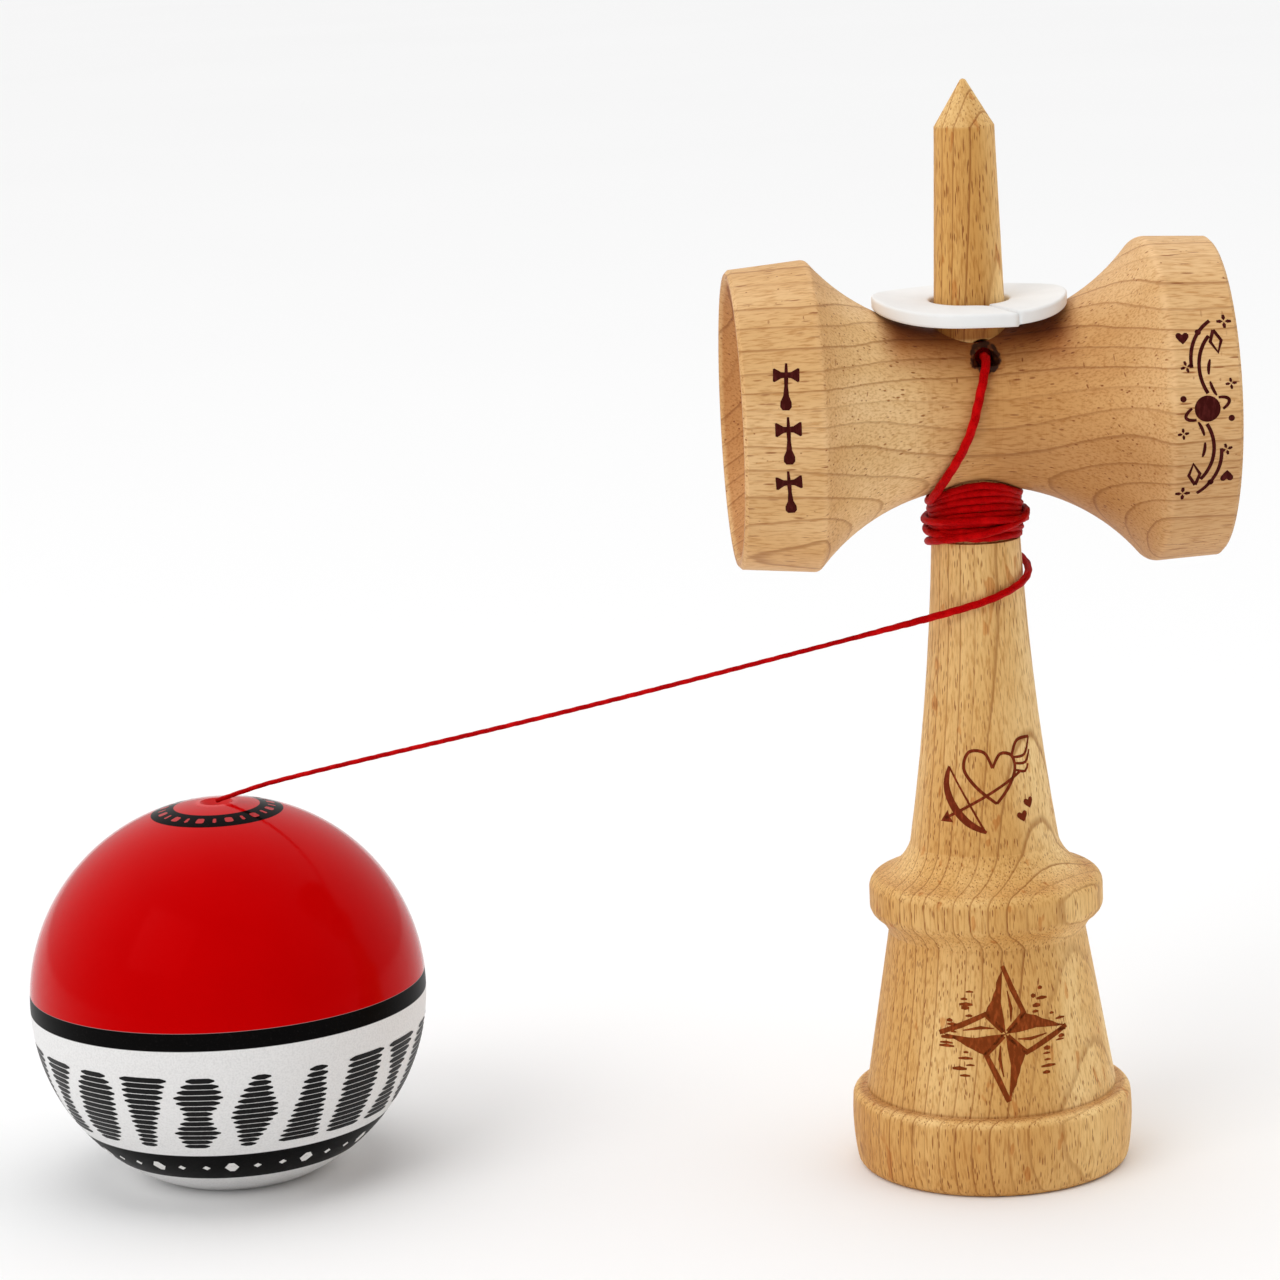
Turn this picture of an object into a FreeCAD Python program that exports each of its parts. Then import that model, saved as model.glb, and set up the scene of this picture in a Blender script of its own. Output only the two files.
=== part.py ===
"""Kendama: a turned handle (ken), a cross-piece (sarado) on its spike and a bored ball (tama) on a string.

Millimetres. The origin is the centre of the handle's foot, +Z runs up the spike, and +X runs along the
cross-piece to its big cup. The ball stands on the mouth of its own bore, to the left of the handle.
"""
import FreeCAD, Part
import math
import os
import re

import Sketcher
from FreeCAD import Placement, Rotation, Vector

DRIVING_SIZES = {
    # handle, heights from the foot and radii
    "ken_height": 161.0,
    "tip_base_height": 154.3,
    "tip_base_radius": 4.35,
    "tip_end_radius": 0.55,
    "tip_end_height": 160.6,
    "spike_foot_height": 126.0,
    "spike_foot_radius": 5.2,
    "seat_foot_height": 101.0,
    "seat_foot_radius": 5.75,
    "seat_step_height": 94.5,
    "shaft_top_height": 94.4,
    "shaft_top_radius": 6.5,
    "shaft_foot_height": 49.0,
    "shaft_foot_radius": 11.0,
    "shaft_bend": 400.0,
    "collar_top_height": 44.4,
    "collar_top_radius": 15.6,
    "collar_top_bend": 7.0,
    "collar_radius": 17.3,
    "collar_upper_height": 42.4,
    "collar_lower_height": 39.6,
    "collar_edge_bend": 2.2,
    "neck_height": 35.6,
    "neck_radius": 14.6,
    "collar_under_height": 38.0,
    "collar_under_radius": 16.3,
    "collar_under_bend": 4.6,
    "cone_foot_radius": 18.6,
    "ledge_height": 11.6,
    "ledge_radius": 19.5,
    "ledge_rounding": 1.5,
    "foot_ring_radius": 20.75,
    "foot_ring_height": 10.1,
    "foot_ring_bend": 34.0,
    "foot_side_height": 1.3,
    "foot_side_radius": 20.3,
    "foot_flat_radius": 19.2,
    "foot_rounding": 1.5,
    "base_cup_radius": 17.2,
    "base_cup_depth": 7.4,
    # knot pocket in the handle and string hole in the cross-piece
    "knot_pocket_radius": 2.4,
    "knot_pocket_reach": 7.0,
    "string_hole_radius": 1.3,
    "string_hole_reach": 14.0,
    "string_hole_offset": 1.0,
    "string_hole_height": 121.7,
    "chip_radius": 2.2,
    "chip_start": 6.6,
    "chip_depth": 2.4,
    # cross-piece, distances from its middle
    "sarado_height": 113.5,
    "waist_radius": 11.4,
    "small_rim_distance": 35.1,
    "small_rim_radius": 21.7,
    "small_lip_radius": 20.5,
    "small_shoulder_distance": 23.2,
    "small_shoulder_radius": 22.15,
    "small_crest_distance": 24.2,
    "small_crest_radius": 22.6,
    "small_crest_bend": 1.2,
    "small_cup_depth": 10.5,
    "big_rim_distance": 35.1,
    "big_rim_radius": 23.2,
    "big_lip_radius": 22.0,
    "big_shoulder_distance": 24.0,
    "big_shoulder_radius": 22.7,
    "big_crest_distance": 26.1,
    "big_crest_radius": 23.6,
    "big_crest_bend": 2.6,
    "big_cup_depth": 12.0,
    "rim_edge": 0.5,
    # spacer ring on the spike
    "ring_radius": 14.1,
    "ring_hole_radius": 5.7,
    "ring_thickness": 2.0,
    "ring_height": 128.5,
    "ring_slit_width": 0.5,
    "ring_slit_offset": 5.0,
    # ball, heights from the mouth it stands on
    "ball_radius": 30.0,
    "ball_mouth_radius": 12.2,
    "ball_bore_radius": 8.6,
    "ball_bevel_height": 3.4,
    "ball_bore_end_radius": 7.6,
    "ball_bore_depth": 46.0,
    "ball_string_hole_radius": 1.7,
    "ball_flare_radius": 2.5,
    "ball_flare_depth": 1.1,
    "ball_away": 113.9,
    "ball_behind": 17.6,
    # bead and knots
    "bead_radius": 3.5,
    "bead_half_height": 3.0,
    "bead_hole_radius": 0.75,
    "bead_clearance": 0.1,
    "ken_knot_radius": 1.9,
    "ken_knot_reach": 3.2,
    "bead_knot_radius": 1.7,
    # string and its winding round the handle
    "string_diameter": 1.1,
    "inner_string_top": 56.7,
    "wind_top_height": 103.2,
    "wind_foot_height": 94.55,
    "wind_radius": 6.9,
    "wind_swell_foot": 95.9,
    "wind_swell_top": 99.3,
    "wind_swell_radius": 8.0,
    "wind_saddle_clearance": 0.15,
}

# A cut that removes less than this many cubic millimetres has missed.
LEAST_CUT = 0.1

# The string's route in the open, corner by corner, in millimetres.
LEAD_ROUTE = [
    (1.0, -5.0, 121.6),
    (1.0, -7.3, 121.8),
    (1.0, -9.4, 121.6),
    (0.2, -11.0, 118.8),
    (-0.7, -11.95, 115.9),
    (-1.5, -12.15, 112.8),
    (-2.7, -11.7, 109.7),
    (-4.1, -10.6, 106.9),
    (-5.7, -8.9, 104.1),
    (-6.9, -6.2, 101.6),
    (-7.3, -3.4, 100.6),
    (-6.7, -0.2, 100.6),
]
RUN_ROUTE = [
    (-4.3, 5.9, 93.4),
    (-1.8, 7.7, 93.2),
    (4.2, 6.7, 92.2),
    (7.9, 1.9, 90.4),
    (7.0, -4.3, 88.6),
    (1.8, -7.9, 86.7),
    (-4.8, -7.0, 84.8),
    (-18.0, -4.6, 81.5),
    (-60.0, 4.6, 70.9),
    (-104.0, 15.3, 60.7),
    (-110.5, 16.75, 58.6),
    (-113.9, 17.6, 57.4),
]

# Sizes that follow from the driving ones, as expressions.
BALL_CENTRE = "sqrt( ball_radius ^ 2 - ball_mouth_radius ^ 2 )"
BALL_TOP = BALL_CENTRE + " + sqrt( ball_radius ^ 2 - ball_flare_radius ^ 2 )"
BEAD_FLAT = "sqrt( bead_radius ^ 2 - bead_half_height ^ 2 )"
BEAD_CENTRE = "ball_bore_depth - bead_clearance - bead_half_height"
BEAD_KNOT_CENTRE = BEAD_CENTRE + " - bead_half_height - bead_knot_radius"

doc = FreeCAD.newDocument("Kendama")
sheet = doc.addObject("Spreadsheet::Sheet", "Sizes")
for row, (alias, value) in enumerate(DRIVING_SIZES.items(), start=1):
    sheet.set(f"A{row}", alias.replace("_", " "))
    sheet.set(f"B{row}", str(value))
    sheet.setAlias(f"B{row}", alias)
doc.recompute()


def measure(expression):
    """The value in millimetres of an expression in the sheet's aliases."""
    return float(sheet.evalExpression(expression))


def bind(thing, field, expression):
    """Ties a property to an expression in the sheet's aliases."""
    thing.setExpression(field, re.sub(r"[a-z_]+", refer_to_sheet, expression))


def refer_to_sheet(word):
    return f"Sizes.{word[0]}" if word[0] in DRIVING_SIZES else word[0]


def new_body(label):
    body = doc.addObject("PartDesign::Body", label)
    body.Label = label
    return body


def new_sketch(body, name, plane_role):
    """A sketch on one of its body's own origin planes."""
    sketch = body.newObject("Sketcher::SketchObject", name)
    plane = next(item for item in body.Origin.OriginFeatures if item.Role == plane_role)
    sketch.AttachmentSupport = [(plane, "")]
    sketch.MapMode = "FlatFace"
    doc.recompute()
    return sketch


def pin_coordinate(sketch, kind, edge, end, expression):
    """Holds one end of an edge at a distance from the sketch's origin."""
    number = sketch.addConstraint(Sketcher.Constraint(kind, -1, 1, edge, end, measure(expression)))
    bind(sketch, f"Constraints[{number}]", expression)


def arc_between(start, end, radius):
    """The shorter arc between two points. A positive radius turns left on the way, a negative one right."""
    chord = end - start
    half = chord.Length / 2
    side = Vector(-chord.y, chord.x, 0).normalize() * math.copysign(1, radius)
    centre = (start + end) / 2 + side * math.sqrt(radius**2 - half**2)
    first, last = (start, end) if radius > 0 else (end, start)
    angle_from = math.atan2(first.y - centre.y, first.x - centre.x)
    angle_to = math.atan2(last.y - centre.y, last.x - centre.x)
    if angle_to < angle_from:
        angle_to += 2 * math.pi
    circle = Part.Circle(centre, Vector(0, 0, 1), abs(radius))
    return Part.ArcOfCircle(circle, angle_from, angle_to)


def draw_outline(sketch, corners):
    """Draws a closed outline. A corner is (across, up) and, where an arc leads on from it, a third entry:
    the arc's radius, with a minus sign where it turns right."""
    places = [Vector(measure(corner[0]), measure(corner[1]), 0) for corner in corners]
    ends = []
    for index, corner in enumerate(corners):
        start = places[index]
        end = places[(index + 1) % len(corners)]
        if len(corner) == 2:
            edge = sketch.addGeometry(Part.LineSegment(start, end), False)
            ends.append((edge, 1, 2))
            continue
        radius = measure(corner[2])
        edge = sketch.addGeometry(arc_between(start, end, radius), False)
        ends.append((edge, 1, 2) if radius > 0 else (edge, 2, 1))
    for index in range(len(corners)):
        edge, _, finish = ends[index]
        next_edge, next_start, _ = ends[(index + 1) % len(corners)]
        sketch.addConstraint(Sketcher.Constraint("Coincident", edge, finish, next_edge, next_start))
    for (edge, start, _), corner in zip(ends, corners):
        pin_coordinate(sketch, "DistanceX", edge, start, corner[0])
        pin_coordinate(sketch, "DistanceY", edge, start, corner[1])
        if len(corner) == 3:
            radius = measure(corner[2])
            number = sketch.addConstraint(Sketcher.Constraint("Radius", edge, abs(radius)))
            bind(sketch, f"Constraints[{number}]", f"abs( {corner[2]} )")


def draw_circle(sketch, across, up, radius):
    centre = Vector(measure(across), measure(up), 0)
    edge = sketch.addGeometry(Part.Circle(centre, Vector(0, 0, 1), measure(radius)), False)
    pin_coordinate(sketch, "DistanceX", edge, 3, across)
    pin_coordinate(sketch, "DistanceY", edge, 3, up)
    number = sketch.addConstraint(Sketcher.Constraint("Radius", edge, measure(radius)))
    bind(sketch, f"Constraints[{number}]", radius)


def turn(body, name, corners, axis="V_Axis", cuts=False):
    """Revolves an outline about a sketch axis, as a lathe does, adding or cutting."""
    sketch = new_sketch(body, f"{name}Outline", "XZ_Plane")
    draw_outline(sketch, corners)
    before = body.Shape.Volume if cuts else 0
    feature = body.newObject("PartDesign::Groove" if cuts else "PartDesign::Revolution", name)
    feature.Profile = sketch
    feature.ReferenceAxis = (sketch, [axis])
    feature.Angle = 360
    doc.recompute()
    if cuts and body.Shape.Volume > before - LEAST_CUT:
        raise RuntimeError(f"{name} cut nothing")


def drill(body, name, radius, reach):
    """Drills the string's hole level into a body, from its axis out to the front."""
    sketch = new_sketch(body, f"{name}Circle", "XZ_Plane")
    draw_circle(sketch, "string_hole_offset", drill_height(body), radius)
    before = body.Shape.Volume
    pocket = body.newObject("PartDesign::Pocket", name)
    pocket.Profile = sketch
    pocket.Type = "Length"
    bind(pocket, "Length", reach)
    pocket.Reversed = True
    doc.recompute()
    if body.Shape.Volume > before - LEAST_CUT:
        raise RuntimeError(f"{name} cut nothing")


def drill_height(body):
    """The string hole's height in a body's own frame: the cross-piece is drawn about its own axis."""
    return "string_hole_height - sarado_height" if body.Label == "sarado" else "string_hole_height"


def place(thing, across=0.0, behind=0.0, height=0.0):
    thing.Placement = Placement(Vector(across, behind, height), Rotation())


def dish(rim_radius, depth):
    """The radius of an arc that is level in its middle and rises by depth at rim_radius from there."""
    return f"( {rim_radius} ^ 2 + {depth} ^ 2 ) / ( 2 * {depth} )"


def flank(cup):
    """The bend of a flank that leaves the waist level and ends on the cup's shoulder, below its crest."""
    return dish(f"{cup}_shoulder_distance", f"( {cup}_shoulder_radius - waist_radius )")


def sarado_flanks(grow):
    """The cross-piece's outer outline from its small rim to its big rim, moved outwards by an expression."""
    return [
        ("-1 * small_rim_distance", f"small_rim_radius - rim_edge + {grow}"),
        ("-1 * small_rim_distance + rim_edge", f"small_rim_radius + {grow}"),
        ("-1 * small_crest_distance", f"small_crest_radius + {grow}", f"-1 * ( small_crest_bend + {grow} )"),
        ("-1 * small_shoulder_distance", f"small_shoulder_radius + {grow}", f"{flank('small')} - {grow}"),
        ("0", f"waist_radius + {grow}", f"{flank('big')} - {grow}"),
        ("big_shoulder_distance", f"big_shoulder_radius + {grow}", f"-1 * ( big_crest_bend + {grow} )"),
        ("big_crest_distance", f"big_crest_radius + {grow}"),
        ("big_rim_distance - rim_edge", f"big_rim_radius + {grow}"),
        ("big_rim_distance", f"big_rim_radius - rim_edge + {grow}"),
    ]


def make_ken():
    """Handle: one turned piece from the base cup to the spike's tip, with a pocket for the string's knot."""
    body = new_body("ken")
    turn(body, "KenTurning", [
        ("0", "base_cup_depth", "-1 * " + dish("base_cup_radius", "base_cup_depth")),
        ("base_cup_radius", "0"),
        ("foot_flat_radius", "0", "foot_rounding"),
        ("foot_side_radius", "foot_side_height", "foot_ring_bend"),
        ("foot_ring_radius", "foot_ring_height", "ledge_rounding"),
        ("ledge_radius", "ledge_height"),
        ("cone_foot_radius", "ledge_height"),
        ("neck_radius", "neck_height", "-1 * collar_under_bend"),
        ("collar_under_radius", "collar_under_height", "collar_edge_bend"),
        ("collar_radius", "collar_lower_height"),
        ("collar_radius", "collar_upper_height", "collar_edge_bend"),
        ("collar_top_radius", "collar_top_height", "-1 * collar_top_bend"),
        ("shaft_foot_radius", "shaft_foot_height", "-1 * shaft_bend"),
        ("shaft_top_radius", "shaft_top_height"),
        ("seat_foot_radius", "seat_step_height"),
        ("seat_foot_radius", "seat_foot_height"),
        ("spike_foot_radius", "spike_foot_height"),
        ("tip_base_radius", "tip_base_height"),
        ("tip_end_radius", "tip_end_height", dish("tip_end_radius", "( ken_height - tip_end_height )")),
        ("0", "ken_height"),
    ])
    drill(body, "KnotPocket", "knot_pocket_radius", "knot_pocket_reach")
    return body


def make_sarado():
    """Cross-piece: a cup at each end, a tapered bore on the spike and the string's chipped hole in front."""
    body = new_body("sarado")
    flanks = sarado_flanks("0")
    turn(body, "SaradoTurning", flanks + [
        ("big_rim_distance", "big_lip_radius", dish("big_lip_radius", "big_cup_depth")),
        ("big_rim_distance - big_cup_depth", "0"),
        ("small_cup_depth - small_rim_distance", "0", dish("small_lip_radius", "small_cup_depth")),
        ("-1 * small_rim_distance", "small_lip_radius"),
    ], axis="H_Axis")
    top = "spike_foot_height - sarado_height"
    foot = "seat_foot_height - sarado_height"
    turn(body, "SpikeSeat", [
        ("0", foot),
        ("seat_foot_radius", foot),
        ("spike_foot_radius", top),
        ("0", top),
    ], cuts=True)
    drill(body, "StringHole", "string_hole_radius", "string_hole_reach")
    chip = body.newObject("PartDesign::SubtractiveCone", "StringHoleChip")
    bind(chip, "Radius1", "string_hole_radius")
    bind(chip, "Radius2", "chip_radius")
    bind(chip, "Height", "chip_depth")
    chip_centre = Vector(measure("string_hole_offset"), -measure("chip_start"), measure(drill_height(body)))
    chip.Placement = Placement(chip_centre, Rotation(Vector(0, 0, 1), Vector(0, -1, 0)))
    doc.recompute()
    place(body, height=measure("sarado_height"))
    return body


def make_spacer_ring():
    """Slit foam ring that rests on the cross-piece, loose round the spike."""
    body = new_body("spacer_ring")
    sketch = new_sketch(body, "RingCircles", "XY_Plane")
    draw_circle(sketch, "0", "0", "ring_radius")
    draw_circle(sketch, "0", "0", "ring_hole_radius")
    pad = body.newObject("PartDesign::Pad", "RingPad")
    pad.Profile = sketch
    bind(pad, "Length", "ring_thickness")
    doc.recompute()
    slit = new_sketch(body, "RingSlit", "XY_Plane")
    left = "ring_slit_offset - ring_slit_width / 2"
    right = "ring_slit_offset + ring_slit_width / 2"
    outside = "-1 * ring_radius - ring_slit_width"
    draw_outline(slit, [(left, outside), (right, outside), (right, "0"), (left, "0")])
    before = body.Shape.Volume
    pocket = body.newObject("PartDesign::Pocket", "RingSlitCut")
    pocket.Profile = slit
    pocket.Type = "Length"
    bind(pocket, "Length", "ring_thickness")
    pocket.Reversed = True
    doc.recompute()
    if body.Shape.Volume > before - LEAST_CUT:
        raise RuntimeError("RingSlitCut cut nothing")
    place(body, height=measure("ring_height"))
    return body


def make_tama():
    """Ball: a sphere bored from below for the spike, with a thin hole for the string at the top."""
    body = new_body("tama")
    turn(body, "TamaTurning", [
        ("ball_mouth_radius", "0", "ball_radius"),
        ("ball_flare_radius", BALL_TOP),
        ("ball_string_hole_radius", BALL_TOP + " - ball_flare_depth"),
        ("ball_string_hole_radius", "ball_bore_depth"),
        ("ball_bore_end_radius", "ball_bore_depth"),
        ("ball_bore_radius", "ball_bevel_height"),
    ])
    place(body, -measure("ball_away"), measure("ball_behind"))
    return body


def make_bead():
    """Bead: it stops the string in the ball, and the ball turns round it."""
    body = new_body("bead")
    turn(body, "BeadTurning", [
        ("bead_hole_radius", "-1 * bead_half_height"),
        (BEAD_FLAT, "-1 * bead_half_height", "bead_radius"),
        (BEAD_FLAT, "bead_half_height"),
        ("bead_hole_radius", "bead_half_height"),
    ])
    place(body, -measure("ball_away"), measure("ball_behind"), measure(BEAD_CENTRE))
    return body


def make_knot(label, radius, centre):
    """Knot: a ball of string."""
    knot = doc.addObject("Part::Sphere", label)
    knot.Label = label
    bind(knot, "Radius", radius)
    knot.Placement = Placement(centre, Rotation())
    return knot


def ken_knot_centre():
    return Vector(measure("string_hole_offset"), -measure("ken_knot_reach"), measure("string_hole_height"))


def bead_knot_centre():
    return Vector(-measure("ball_away"), measure("ball_behind"), measure(BEAD_KNOT_CENTRE))


def make_winding():
    """String wound round the handle under the cross-piece: the outer shape of its turns, hollowed above
    where the cross-piece's waist comes down at each side. It is drawn from the cross-piece's height."""
    body = new_body("string_winding")
    turn(body, "WindingTurning", [
        ("seat_foot_radius", "wind_foot_height - sarado_height"),
        ("wind_radius", "wind_foot_height - sarado_height"),
        ("wind_radius", "wind_swell_foot - sarado_height"),
        ("wind_swell_radius", "wind_swell_foot + string_diameter / 2 - sarado_height"),
        ("wind_swell_radius", "wind_swell_top - string_diameter / 2 - sarado_height"),
        ("wind_radius", "wind_swell_top - sarado_height"),
        ("wind_radius", "wind_top_height - sarado_height"),
        ("seat_foot_radius", "wind_top_height - sarado_height"),
    ])
    turn(body, "WindingSaddle", sarado_flanks("wind_saddle_clearance") + [
        ("big_rim_distance", "0"),
        ("-1 * small_rim_distance", "0"),
    ], axis="H_Axis", cuts=True)
    place(body, height=measure("sarado_height"))
    return body


def rounded_path(corners):
    """Straight runs joined by tangent arcs, each as large as its two runs allow."""
    points = [Vector(*corner) for corner in corners]
    edges = []
    radii = []
    start = points[0]
    for before, corner, after in zip(points, points[1:], points[2:]):
        arriving = (corner - before).normalize()
        leaving = (after - corner).normalize()
        turn_angle = arriving.getAngle(leaving)
        trim = 0.45 * min((corner - before).Length, (after - corner).Length)
        radius = trim / math.tan(turn_angle / 2)
        radii.append(radius)
        arc_start = corner - arriving * trim
        arc_end = corner + leaving * trim
        inward = (leaving - arriving).normalize()
        middle = corner + inward * (radius / math.cos(turn_angle / 2) - radius)
        edges.append(Part.LineSegment(start, arc_start).toShape())
        edges.append(Part.Arc(arc_start, middle, arc_end).toShape())
        start = arc_end
    edges.append(Part.LineSegment(start, points[-1]).toShape())
    return Part.Wire(edges), radii


def make_string(label, corners):
    """A stretch of string in the open: a round tube along its route."""
    path, radii = rounded_path(corners)
    start, onward = Vector(*corners[0]), Vector(*corners[1])
    radius = measure("string_diameter / 2")
    section = Part.Wire(Part.makeCircle(radius, start, onward - start))
    tube = path.makePipeShell([section], True, False)
    expected = math.pi * radius**2 * path.Length
    listed = ", ".join(f"{value:.1f}" for value in radii)
    print(f"{label}: length {path.Length:.1f}, volume {tube.Volume:.1f} of {expected:.1f}, bends {listed}")
    string = doc.addObject("Part::Feature", label)
    string.Label = label
    string.Shape = tube
    return string


def make_inner_string():
    """The string's end inside the ball: straight down through the bead to its knot."""
    string = doc.addObject("Part::Cylinder", "string_in_tama")
    string.Label = "string_in_tama"
    bind(string, "Radius", "string_diameter / 2")
    bind(string, "Height", f"inner_string_top - ( {BEAD_KNOT_CENTRE} )")
    place(string, -measure("ball_away"), measure("ball_behind"), measure(BEAD_KNOT_CENTRE))
    return string


def check_document(parts):
    """Stops if an object failed to compute or a sub-part isn't one valid closed solid."""
    for thing in doc.Objects:
        if "Invalid" in thing.State or "Error" in thing.State:
            raise RuntimeError(f"{thing.Name} is {thing.State}")
    for part in parts:
        shape = part.Shape
        if shape.isNull() or not shape.isValid() or len(shape.Solids) != 1:
            raise RuntimeError(f"{part.Label} has no single valid solid")


def main():
    parts = [
        make_ken(),
        make_sarado(),
        make_spacer_ring(),
        make_tama(),
        make_bead(),
        make_knot("ken_knot", "ken_knot_radius", ken_knot_centre()),
        make_knot("bead_knot", "bead_knot_radius", bead_knot_centre()),
        make_string("string_lead", LEAD_ROUTE),
        make_winding(),
        make_string("string_run", RUN_ROUTE),
        make_inner_string(),
    ]
    doc.recompute()
    check_document(parts)
    os.makedirs("parts", exist_ok=True)
    for part in parts:
        part.Shape.exportStep(f"parts/{part.Label}.step")
        print(f"{part.Label}: {part.Shape.Volume / 1000:.2f} cm3")


main()
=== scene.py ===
"""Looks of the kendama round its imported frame: wood, lacquer, foam, string and burnt marks.

Metres, in the frame's own axes: the origin is under the handle's foot, +Z runs up the spike and +X runs
along the cross-piece to its big cup. Lengths multiplied by MM are in millimetres, and so are the places in
the shaders and the burnt drawings.
"""
import random
from math import acos, asin, ceil, cos, dist, hypot, pi, radians, sin, sqrt

import bmesh
import bpy
from mathutils import Matrix, Vector
from mathutils.bvhtree import BVHTree


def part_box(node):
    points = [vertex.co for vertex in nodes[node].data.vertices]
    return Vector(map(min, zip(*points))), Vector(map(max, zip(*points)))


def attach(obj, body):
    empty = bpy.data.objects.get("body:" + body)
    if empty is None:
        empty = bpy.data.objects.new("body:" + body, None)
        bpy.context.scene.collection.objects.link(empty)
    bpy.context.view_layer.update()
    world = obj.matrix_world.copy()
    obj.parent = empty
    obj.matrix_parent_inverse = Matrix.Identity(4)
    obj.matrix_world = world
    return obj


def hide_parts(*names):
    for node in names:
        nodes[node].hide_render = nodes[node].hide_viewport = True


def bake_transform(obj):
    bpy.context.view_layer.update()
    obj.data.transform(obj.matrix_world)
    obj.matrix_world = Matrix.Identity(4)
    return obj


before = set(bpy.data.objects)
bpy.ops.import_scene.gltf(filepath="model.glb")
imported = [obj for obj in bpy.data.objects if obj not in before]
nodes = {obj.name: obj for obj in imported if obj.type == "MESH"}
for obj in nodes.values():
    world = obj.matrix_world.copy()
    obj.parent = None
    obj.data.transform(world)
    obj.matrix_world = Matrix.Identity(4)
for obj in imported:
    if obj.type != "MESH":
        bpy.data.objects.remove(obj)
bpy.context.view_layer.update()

MM = 0.001
MARK_LIFT_MM = 0.03
UP = Vector((0, 0, 1))
ALONG = Vector((1, 0, 0))

TAMA_LOW, TAMA_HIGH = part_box("tama")
SARADO_LOW, SARADO_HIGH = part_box("sarado")
BALL_RADIUS = (TAMA_HIGH.x - TAMA_LOW.x) / 2
BALL_MOUTH_RADIUS = 12.2 * MM
BALL_CENTRE = Vector((
    (TAMA_LOW.x + TAMA_HIGH.x) / 2,
    (TAMA_LOW.y + TAMA_HIGH.y) / 2,
    TAMA_LOW.z + sqrt(BALL_RADIUS**2 - BALL_MOUTH_RADIUS**2),
))
SARADO_AXIS_HEIGHT = (SARADO_LOW.z + SARADO_HIGH.z) / 2


def new_object(name, data):
    """An object with this data, in the scene."""
    thing = bpy.data.objects.new(name, data)
    bpy.context.scene.collection.objects.link(thing)
    return thing


# ---- camera

CAMERA_PLACE = (-0.07983, -0.57323, 0.19346)
CAMERA_HEADING = radians(3.0)
CAMERA_PITCH = radians(11.0)
CAMERA_ROLL = radians(2.59)
CAMERA_LENS_MM = 112.5


def add_camera():
    """A long lens in front of the string's side, a little above the object and rolled clockwise."""
    right = Vector((cos(CAMERA_HEADING), -sin(CAMERA_HEADING), 0))
    forward = Vector((
        sin(CAMERA_HEADING) * cos(CAMERA_PITCH),
        cos(CAMERA_HEADING) * cos(CAMERA_PITCH),
        -sin(CAMERA_PITCH),
    ))
    above = right.cross(forward)
    rolled_right = cos(CAMERA_ROLL) * right - sin(CAMERA_ROLL) * above
    rolled_up = sin(CAMERA_ROLL) * right + cos(CAMERA_ROLL) * above
    camera = new_object("camera", bpy.data.cameras.new("camera"))
    camera.data.lens = CAMERA_LENS_MM
    turn = Matrix((rolled_right, rolled_up, -forward)).transposed().to_4x4()
    camera.matrix_world = Matrix.Translation(CAMERA_PLACE) @ turn
    bpy.context.scene.camera = camera


add_camera()


# ---- shader and mesh helpers


def screen_colour(red, green, blue):
    """The linear colour that a screen shows as these 0 to 255 values."""
    def linear(value):
        value /= 255
        return value / 12.92 if value <= 0.04045 else ((value + 0.055) / 1.055) ** 2.4
    return (linear(red), linear(green), linear(blue), 1)


def lightened(colour, times):
    """The colour so many times as bright, and a trace of grey."""
    return tuple(times * part + 0.006 for part in colour[:3]) + (1,)


# The mix node has sockets for vectors and numbers between its factor and its colours.
MIX_UNUSED = [None] * 5
MIX_COLOUR = 2


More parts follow.
